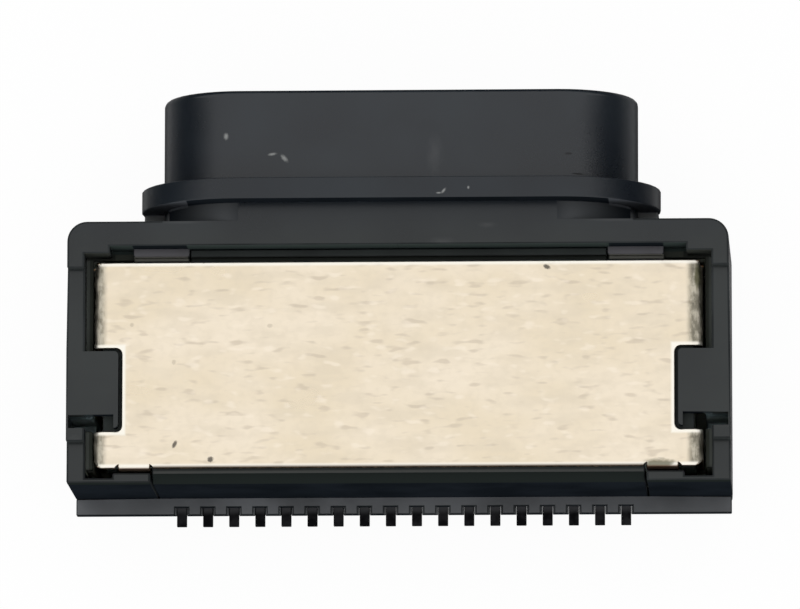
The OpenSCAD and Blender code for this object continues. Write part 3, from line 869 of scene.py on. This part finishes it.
# %% Contact metals
TAIL_FADE = (-2.45, -2.75)
# Painted light on the root of each tail, where the comb of the ledge shades it.
TAIL_ROOT_LIGHT = (-3.8, -3.66)
TIN = (0.35, 0.7)
TIN_TINTS = ((0.006, 0.006, 0.007, 1), (0.02, 0.02, 0.022, 1))
ROOT_PAINTED_LIGHT = (0.06, 0.061, 0.065, 1)
TIN_SCALE = 5
# The marks that drawing left along a strip.
DRAWN = (0.3, 0.7)
DRAWN_SCALE = (30, 3, 30)
DRAWN_DRIFT = 0.14
DRAWN_DEPTH = 0.0008
SPRING_ROUGH = 0.24
TAIL_ROUGH = 0.16
GOLD = ((0.74, 0.5, 0.2, 1), (0.86, 0.62, 0.27, 1))
STEEL = ((0.45, 0.44, 0.43, 1), (0.62, 0.61, 0.59, 1))


def strip_finish(name, tints):
    """Metal of a strip, from its spring of these tints to its tinned tail."""
    finish = Finish(name)
    y = finish.axes()[1]
    drawn = finish.noise(finish.place(DRAWN_SCALE), scale=1, detail=3)
    cloud = finish.noise(finish.place(), TIN_SCALE)
    tail = finish.step(y, *TAIL_FADE)
    spring = finish.mix(finish.step(drawn, *DRAWN), *tints)
    tin = finish.mix(finish.step(cloud, *TIN), *TIN_TINTS)
    # Painted light on the tail's root.
    tin = finish.mix(finish.step(y, *TAIL_ROOT_LIGHT), tin, ROOT_PAINTED_LIGHT)
    finish.set(Base_Color=finish.mix(tail, spring, tin), Metallic=1.0)
    roughness = SPRING_ROUGH + TAIL_ROUGH * tail
    finish.set(Roughness=finish.drift(roughness, (drawn, DRAWN_DRIFT)))
    finish.set(Normal=finish.bump(drawn, DRAWN_DEPTH))
    return finish.material


gold_strip = strip_finish("gold_strip", GOLD)
latch_steel = strip_finish("latch_steel", STEEL)
print("strips:", gold_strip.name, latch_steel.name)

# %% [markdown]
# ## Softened solids
# A mould can't make a perfectly sharp edge, and a sharp edge catches no light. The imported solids
# have the right shape, so each is copied, its loose triangles are merged into whole faces, and
# its sharp edges are bevelled by a few hundredths of a millimetre. One width for all edges would
# make bevels grow into each other. So where an edge runs into a short one, or another edge runs
# close beside it, its bevel weight is cut down.

# %% Copy a solid to the bench
# Faces that lie within this angle are one face, and vertices that are this close are one vertex.
FLAT = math.radians(0.1)
MERGE = 0.0002


def cad_copy(node, name):
    """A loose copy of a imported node, on the bench."""
    source = frame["nodes"][node]
    piece = source.copy()
    piece.data = source.data.copy()
    piece.name = name
    piece.parent = None
    del piece["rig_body"]
    del piece["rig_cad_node"]
    bpy.context.scene.collection.objects.link(piece)
    rescale(piece, 1 / MM)
    bpy.ops.mesh.customdata_custom_splitnormals_clear()
    bpy.ops.object.mode_set(mode="EDIT")
    bpy.ops.mesh.select_all(action="SELECT")
    bpy.ops.mesh.remove_doubles(threshold=MERGE)
    bpy.ops.mesh.dissolve_limited(angle_limit=FLAT)
    bpy.ops.object.mode_set(mode="OBJECT")
    return piece


print("faces within", round(math.degrees(FLAT), 2), "degrees become one")

# %% Room for a bevel
# An edge that stays sharp counts as this many times as far off as one that is softened.
CLOSE = 2.3
# Cosines between two edges at a vertex: below the first, one goes straight on from the other, and
# between the next two, it follows the other round a curve.
STRAIGHT_ON = -0.85
CURVE = (-0.9998, -0.64)


def room_beside(edge):
    """The shortest edge that leaves either end of this one sideways."""
    room = math.inf
    for end in edge.verts:
        along = (edge.other_vert(end).co - end.co).normalized()
        for other in end.link_edges:
            way = (other.other_vert(end).co - end.co).normalized()
            if other != edge and along.dot(way) > STRAIGHT_ON:
                room = min(room, other.calc_length())
    return room


def abreast(vert, edge):
    """The distance from a vertex to an edge, if the vertex lies beside it and not past its ends."""
    foot, share = intersect_point_line(vert.co, edge.verts[0].co, edge.verts[1].co)
    return (vert.co - foot).length if 0 <= share <= 1 else math.inf


def room_across(edge, softened):
    """The way across either face of this edge to the nearest edge abreast of it.

    An edge that stays sharp takes no room itself, so the bevel may come closer to it.
    """
    room = math.inf
    for face in edge.link_faces:
        for other in face.edges:
            if not set(edge.verts) & set(other.verts):
                gaps = [abreast(v, edge) for v in other.verts] + [abreast(v, other) for v in edge.verts]
                room = min(room, min(gaps) * (1 if other in softened else CLOSE))
    return room


def level_curves(mesh, weight):
    """Gives edges that follow each other round a curve one weight, so that their bevels meet."""
    uneven = True
    while uneven:
        uneven = False
        for vert in mesh.verts:
            weighted = [e for e in vert.link_edges if e[weight] > 0]
            for one, other in itertools.combinations(weighted, 2):
                ways = [(e.other_vert(vert).co - vert.co).normalized() for e in (one, other)]
                if CURVE[0] < ways[0].dot(ways[1]) < CURVE[1] and one[weight] != other[weight]:
                    one[weight] = other[weight] = min(one[weight], other[weight])
                    uneven = True


print("a sharp edge counts as", CLOSE, "times as far off")

# %% Soften, coat and dress a piece
# Edges that turn by more than SHARP are softened, and what turns by less than SMOOTH is shaded
# smooth. A bevel takes at most a SHARE of the room beside its edge.
SHARP = math.radians(60)
SMOOTH = math.radians(50)
SHARE = 0.4
BEVEL_STEPS = 2
EDGE_SLOT = 1


def weigh_edges(piece, width, left_sharp):
    """Gives each sharp outer edge a bevel weight that its neighbours leave room for."""
    mesh = bmesh.new()
    mesh.from_mesh(piece.data)
    weight = mesh.edges.layers.float.new("bevel_weight_edge")
    sharp = {e for e in mesh.edges if e.is_convex and e.calc_face_angle(0) > SHARP and not left_sharp(e)}
    for edge in sharp:
        room = min(room_beside(edge), room_across(edge, sharp))
        edge[weight] = min(1, SHARE * room / width)
    level_curves(mesh, weight)
    mesh.to_mesh(piece.data)
    mesh.free()
    return len(sharp)


def soften(piece, width, left_sharp=lambda edge: False):
    """Bevels the sharp edges, smooths the bevels and keeps the flats flat."""
    count = weigh_edges(piece, width, left_sharp)
    edge_slot = min(EDGE_SLOT, len(piece.data.materials) - 1)
    apply_modifier(piece, "BEVEL", width=width, segments=BEVEL_STEPS, limit_method="WEIGHT",
                   use_clamp_overlap=False, material=edge_slot)
    pick(piece)
    bpy.ops.object.shade_smooth_by_angle(angle=SMOOTH)
    apply_modifier(piece, "WEIGHTED_NORMAL", keep_sharp=True)
    rescale(piece, MM)
    return count


def coat(piece, *finishes):
    """Gives a piece its finishes, one to a slot, and all of its faces the first one."""
    piece.data.materials.clear()
    for finish in finishes:
        piece.data.materials.append(finish)
    for face in piece.data.polygons:
        face.material_index = 0


def dress(piece, slot, *nodes):
    """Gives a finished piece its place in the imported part."""
    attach(piece, "root")
    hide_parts(*nodes)


print("a bevel takes up to", SHARE, "of the room beside its edge")

# %% [markdown]
# ## Housing and carriers
# The housing, the contact base and the upper carrier are three mouldings that fit into each other.
# Most of their edges can be softened. The rims of the flange, which the solid already rounds, the
# narrow slots in the clips, and the edge where the front wall runs flush into the neck stay as
# they are. Steps of two hundredths of a millimetre in the outer walls are closed first, because a
# bevel can't follow them, and the top edges of the front wall are halved, so that only the half
# beside the neck gets a narrower bevel. The faces could be given their finish by hand, but there
# are thousands. So a test picks them by where they lie and which way they look.

# %% Edges of the mouldings, in millimetres
HOUSING_EDGE = 0.038
CARRIER_EDGE = 0.02
FLANGE_Y = (1.83, 2.26)
BODY_FRONT = 1.49
NECK_HALF = 4.4
SLOT_X = (5.9, 6.26)
SLOT_Y = (-2.45, -2.18)
WALL_X = 6.2
HAIRLINE = 0.025
TINY = 0.001
LONG_EDGE = 2


def near(value, target):
    return abs(value - target) < TINY


def stays_sharp(edge):
    """True for the rims of the flange, the edge where the body meets the neck, and the clips' slots."""
    middle = (edge.verts[0].co + edge.verts[1].co) / 2
    at_neck = near(middle.y, BODY_FRONT) and abs(middle.x) < NECK_HALF
    at_slot = SLOT_X[0] < abs(middle.x) < SLOT_X[1] and SLOT_Y[0] < middle.y < SLOT_Y[1]
    return at_neck or at_slot or FLANGE_Y[0] < middle.y < FLANGE_Y[1]


def beside_neck(edge):
    """True for the top edges of the front wall, which run from the corners of the body to the neck."""
    one, other = (v.co for v in edge.verts)
    on_front = near(one.y, BODY_FRONT) and near(other.y, BODY_FRONT)
    on_top = near(one.z, NOSE_TOP) and near(other.z, NOSE_TOP)
    return on_front and on_top and abs(one.x - other.x) > LONG_EDGE


def on_wall(vert):
    """True for the vertices of the outer walls."""
    return abs(vert.co.x) > WALL_X


def ready_edges(piece):
    """Closes the tiny steps in the outer walls and halves the edges that run into the neck."""
    pick(piece)
    bpy.ops.object.mode_set(mode="EDIT")
    select_where(piece, "VERT", on_wall)
    bpy.ops.mesh.remove_doubles(threshold=HAIRLINE)
    halved = select_where(piece, "EDGE", beside_neck)
    if halved:
        bpy.ops.mesh.subdivide(number_cuts=1)
    bpy.ops.object.mode_set(mode="OBJECT")
    return halved


print("edges are", HOUSING_EDGE, "mm wide on the housing and", CARRIER_EDGE, "mm on the carriers")

# %% Faces in the recesses, in millimetres
DEEP_X = 6.24
DEEP_Y = (-3.44, 1.45)
DEEP_Z = 2.95
NECK_END = 3.0
SEAT_Y = (0.8, 1.1)
SEAT_Z = (3.0, 3.1)
# Limits of a normal's y or z, past which a face looks back, forward, up or down.
LOOKS_BACK = -0.65
LOOKS_FORWARD = 0.05
LOOKS_UP = 0.9
LOOKS_DOWN = -0.5
# The places of these finishes on a piece.
RECESS_SLOT = 2
NOSE_SLOT = 3
SEAT_SLOT = 4


def in_recess(face):
    """True for faces that look back, for those deep in the body, and for the gap behind the flange."""
    centre = face.center / MM
    across = abs(centre.x)
    on_corner = face.normal.x * centre.x > 0 and face.normal.y > LOOKS_FORWARD
    inside = across < DEEP_X and DEEP_Y[0] < centre.y < DEEP_Y[1] and centre.z < DEEP_Z
    in_body = inside and not on_corner and face.normal.z > LOOKS_DOWN
    behind_flange = BODY_FRONT < centre.y < FLANGE_Y[0]
    on_neck_end = NECK_END < across < NECK_HALF and face.normal.z > 0
    on_web = across > NECK_HALF and face.normal.z > LOOKS_UP
    return face.normal.y < LOOKS_BACK or in_body or (behind_flange and (on_neck_end or on_web))


def on_seat(face):
    """True for the tops of the two seats in front of the plate."""
    centre = face.center / MM
    at_seat = SEAT_Z[0] < centre.z < SEAT_Z[1] and SEAT_Y[0] < centre.y < SEAT_Y[1]
    return at_seat and face.normal.z > LOOKS_UP


print("recesses lie below", DEEP_Z, "mm")

# %% Three mouldings
for node, material, slot, width in (
    ("housing", moulded_black, "black_plastic", HOUSING_EDGE),
    ("contact_base", base_black, "carrier_plastic", CARRIER_EDGE),
    ("upper_carrier", carrier_black, "carrier_plastic", CARRIER_EDGE),
):
    piece = cad_copy(node, node + "_moulded")
    halved = ready_edges(piece)
    coat(piece, material, edge_black, recess_black)
    edges = soften(piece, width, stays_sharp)
    dress(piece, slot, node)
    for face in piece.data.polygons:
        if in_recess(face):
            face.material_index = RECESS_SLOT
    print(piece.name, halved, "edges halved,", edges, "softened,", len(piece.data.polygons), "faces")

# %% Nose and seats of the housing
housing = bpy.data.objects["housing_moulded"]
housing.data.materials.append(nose_black)
housing.data.materials.append(seat_black)
for face in housing.data.polygons:
    if face.center.y / MM > FLANGE_Y[1] and face.material_index == 0:
        face.material_index = NOSE_SLOT
    if on_seat(face):
        face.material_index = SEAT_SLOT
for index, name in ((NOSE_SLOT, "nose"), (SEAT_SLOT, "seats")):
    print(name, sum(face.material_index == index for face in housing.data.polygons), "faces")

# %% [markdown]
# ## Strips
# The contacts are stamped from strip 0.1 mm thick and the latch springs from strip of 0.15 mm, and
# stamping leaves edges that are only just rounded. The strips could be bent anew, as the plate
# below is folded, but the solids already have every bend, and the carriers hide most of them. So
# they only get softened edges and their metal, each on a mesh of its own.

# %% Contacts and latch springs
STRIP_EDGE = 0.012
ROW_N = 8

rows = [f"{row}_contact_{i + 1}" for row in ("upper", "lower") for i in range(ROW_N)]
strips = [(node, gold_strip, "contact_metal") for node in rows]
strips += [(f"latch_spring_{side}", latch_steel, "latch_metal") for side in ("left", "right")]
for node, metal, slot in strips:
    piece = cad_copy(node, node + "_strip")
    coat(piece, metal)
    soften(piece, STRIP_EDGE)
    dress(piece, slot, node)
print(len(strips), "strips softened")

# %% [markdown]
# ## Shield plate
# The real plate is punched from flat sheet and folded. It is made the same way here: a plane is
# cut along the lines of the notches and the tabs, the waste is deleted, the sides and the rear
# tabs are extruded down, and bevels turn the fold lines into bends. The sheet then gets its
# thickness, with the bare metal on the cut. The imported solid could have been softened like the
# mouldings, but a sheet that is folded anew keeps its thickness round the bends, and its sides can
# be worn into waves.

# %% Punch the flat sheet
SHEET_T = 0.12
BEND_R = 0.15
NOTCH_R = 0.11
TAB_X = 5.0
TAB_HALF = 0.3
TAB_OUT = 0.05
TAB_DROP = 0.7
TAB_BEND_R = 0.125
RELIEF_W = 0.07
SHEET_FLAT = math.radians(1)

low, high = (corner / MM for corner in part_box("shield_plate"))
high.y = PLATE_FRONT
rear_y = low.y + TAB_OUT
relief_y = low.y + TAB_BEND_R
tab_sides = (TAB_X - TAB_HALF, TAB_X + TAB_HALF)
relief_sides = (tab_sides[0] - RELIEF_W, tab_sides[1] + RELIEF_W)

bpy.ops.object.select_all(action="DESELECT")
bpy.ops.mesh.primitive_plane_add(size=1)
plate = bpy.context.object
plate.name = "folded_shield_plate"
bpy.ops.object.mode_set(mode="EDIT")
bpy.ops.transform.resize(value=(high.x - low.x, high.y - low.y, 1))
bpy.ops.transform.translate(value=(0, (low.y + high.y) / 2, high.z))
for x in (NOTCH_X, *tab_sides, *relief_sides):
    for side in (-1, 1):
        bpy.ops.mesh.select_all(action="SELECT")
        bpy.ops.mesh.bisect(plane_co=(side * x, 0, 0), plane_no=(1, 0, 0))
for y in (NOTCH_FRONT, NOTCH_REAR, relief_y, rear_y):
    bpy.ops.mesh.select_all(action="SELECT")
    bpy.ops.mesh.bisect(plane_co=(0, y, 0), plane_no=(0, 1, 0))


def is_waste(face):
    """True for the faces in the notches, in the relief cuts and behind the plate beside the tabs."""
    centre = face.calc_center_median()
    x = abs(centre.x)
    in_notch = x > NOTCH_X and NOTCH_REAR < centre.y < NOTCH_FRONT
    on_tab = tab_sides[0] < x < tab_sides[1]
    in_relief = relief_sides[0] < x < relief_sides[1] and centre.y < relief_y
    return in_notch or (not on_tab and (in_relief or centre.y < rear_y))


def in_relief_corner(vert):
    """True for the far corner of a relief cut, which is drawn back to make the cut slanted."""
    return near(vert.co.y, relief_y) and any(near(abs(vert.co.x), x) for x in relief_sides)


waste = select_where(plate, "FACE", is_waste)
bpy.ops.mesh.delete(type="FACE")
bpy.ops.mesh.select_all(action="SELECT")
bpy.ops.mesh.dissolve_limited(angle_limit=SHEET_FLAT)
select_where(plate, "VERT", in_relief_corner)
bpy.ops.transform.translate(value=(0, rear_y - relief_y, 0))
bpy.ops.mesh.select_all(action="SELECT")
bpy.ops.mesh.remove_doubles(threshold=TINY)
print("waste faces punched out:", waste)

# %% [markdown]
# ## Folds
# A press folds the sides and the tabs down over a die, which leaves a bend of the die's radius.
# A flap could be turned down about its fold line in the same way, but its depth would then have
# to be worked out from the flat sheet. So the edge is extruded straight down, as deep as the side
# is, and the fold line is bevelled. The outer corners are cut round last, through top and side
# together, by a few planes that lie along the curve.

# %% Round the notches and fold the sheet
NOTCH_STEPS = 5
BEND_STEPS = 6
CORNER_R = 0.16
# The turns of the planes that round a corner, in degrees.
CORNER_CUTS = (22.5, 45, 67.5)


def in_notch_corner(vert):
    """True for the inner corners of the notches."""
    at_end = near(vert.co.y, NOTCH_FRONT) or near(vert.co.y, NOTCH_REAR)
    return at_end and near(abs(vert.co.x), NOTCH_X)


def on_side(edge):
    """True for the edges along the sides, at the height of the top."""
    one, other = (v.co for v in edge.verts)
    along = near(one.x, other.x) and near(abs(one.x), high.x)
    return along and near(one.z, high.z) and near(other.z, high.z)


def on_tab(edge):
    """True for the rear edges of the tabs, at the height of the top."""
    return all(near(v.co.y, low.y) and near(v.co.z, high.z) for v in edge.verts)


select_where(plate, "VERT", in_notch_corner)
bpy.ops.mesh.bevel(offset=NOTCH_R, segments=NOTCH_STEPS, affect="VERTICES")
select_where(plate, "EDGE", on_side)
bpy.ops.mesh.extrude_edges_move(TRANSFORM_OT_translate={"value": (0, 0, low.z - high.z)})
select_where(plate, "EDGE", on_tab)
bpy.ops.mesh.extrude_edges_move(TRANSFORM_OT_translate={"value": (0, 0, -TAB_DROP)})
folds = select_where(plate, "EDGE", on_side)
bpy.ops.mesh.bevel(offset=BEND_R, segments=BEND_STEPS, affect="EDGES")
folds += select_where(plate, "EDGE", on_tab)
bpy.ops.mesh.bevel(offset=TAB_BEND_R, segments=BEND_STEPS, affect="EDGES")
for side in (-1, 1):
    for end_y, way in ((high.y, 1), (rear_y, -1)):
        hub = Vector((side * (high.x - CORNER_R), end_y - way * CORNER_R, 0))
        for angle in CORNER_CUTS:
            turn = math.radians(angle)
            out = Vector((side * math.cos(turn), way * math.sin(turn), 0))
            bpy.ops.mesh.select_all(action="SELECT")
            bpy.ops.mesh.bisect(plane_co=hub + CORNER_R * out, plane_no=out, clear_outer=True)
print("fold lines bent:", folds)

# %% [markdown]
# ## Thickness and wear
# Handling has worn the turned-down sides into small waves. They could be a bump in the finish, but
# their outline shows against the dark gap. So the sides are divided along their length, and clouds
# push them in and out, more the farther out they lie. The sheet gets its thickness first, so that
# both of its faces move together, and the cut edges are rounded last.

# %% Thickness and worn bends
WAVE_STEP = 0.09
WAVE_SIZE = 0.16
WAVE_DEPTH = 0.07
CUT_EDGE_W = 0.025

bpy.ops.mesh.select_all(action="SELECT")
bpy.ops.mesh.normals_make_consistent(inside=False)
for k in range(1, int((high.y - low.y) / WAVE_STEP)):
    bpy.ops.mesh.select_all(action="SELECT")
    bpy.ops.mesh.bisect(plane_co=(0, low.y + k * WAVE_STEP, 0), plane_no=(0, 1, 0))
bpy.ops.object.mode_set(mode="OBJECT")

bends = plate.vertex_groups.new(name="bends")
for vert in plate.data.vertices:
    past = (abs(vert.co.x) - FOLD_X) / BEND_R
    bends.add([vert.index], min(1, max(0, past)), "REPLACE")
dents = bpy.data.textures.new("dents", "CLOUDS")
dents.noise_scale = WAVE_SIZE
plate.data.materials.append(plated_sheet)
plate.data.materials.append(cut_edge)
apply_modifier(plate, "SOLIDIFY", thickness=SHEET_T, offset=-1, use_even_offset=True,
               material_offset_rim=EDGE_SLOT)
apply_modifier(plate, "DISPLACE", texture=dents, texture_coords="LOCAL", direction="X",
               strength=WAVE_DEPTH, vertex_group=bends.name)
plate.vertex_groups.clear()
apply_modifier(plate, "BEVEL", width=CUT_EDGE_W, segments=BEVEL_STEPS, limit_method="ANGLE",
               angle_limit=SHARP, use_clamp_overlap=False)
pick(plate)
bpy.ops.object.mode_set(mode="EDIT")
bpy.ops.mesh.select_all(action="SELECT")
bpy.ops.mesh.dissolve_degenerate(threshold=MERGE)
bpy.ops.object.mode_set(mode="OBJECT")
bpy.ops.object.shade_smooth_by_angle(angle=SMOOTH)
apply_modifier(plate, "WEIGHTED_NORMAL", keep_sharp=True)
rescale(plate, MM)
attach(plate, "root")
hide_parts("shield_plate")
print(plate.name, len(plate.data.polygons), "faces")
